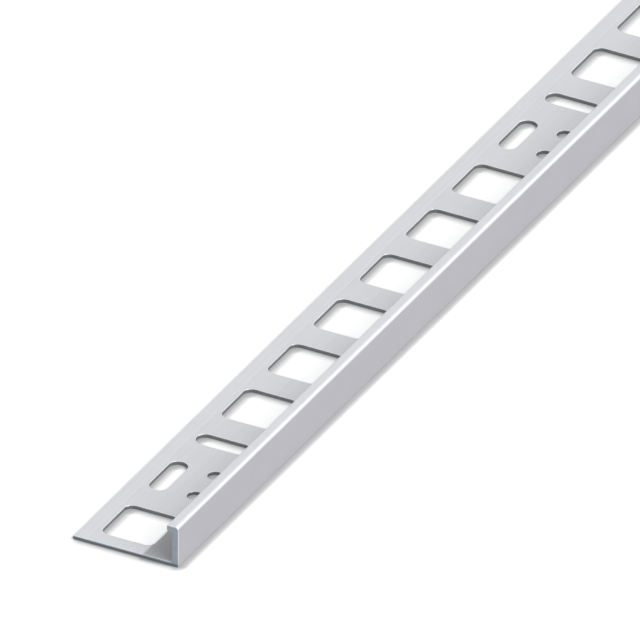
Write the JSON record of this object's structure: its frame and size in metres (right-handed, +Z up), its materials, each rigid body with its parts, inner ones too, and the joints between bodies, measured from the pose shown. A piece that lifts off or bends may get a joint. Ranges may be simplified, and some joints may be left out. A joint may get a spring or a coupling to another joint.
{
  "type": "angle profile",
  "caption": "Aluminium tile edge profile, an L section: a flat punched anchoring leg, a plain upright wall and a small lip turned in along its top.",
  "frame": {"origin": "on the floor, under the middle of the piece", "axes": "+X across the leg towards the visible face, +Y along the stock, +Z up"},
  "size_m": [0.0258, 1, 0.01],
  "materials": {
    "aluminium": "matt silver, plain extruded surface with bright punched edges"
  },
  "bodies": {
    "root": {"angle_profile": "aluminium"}
  },
  "joints": []
}
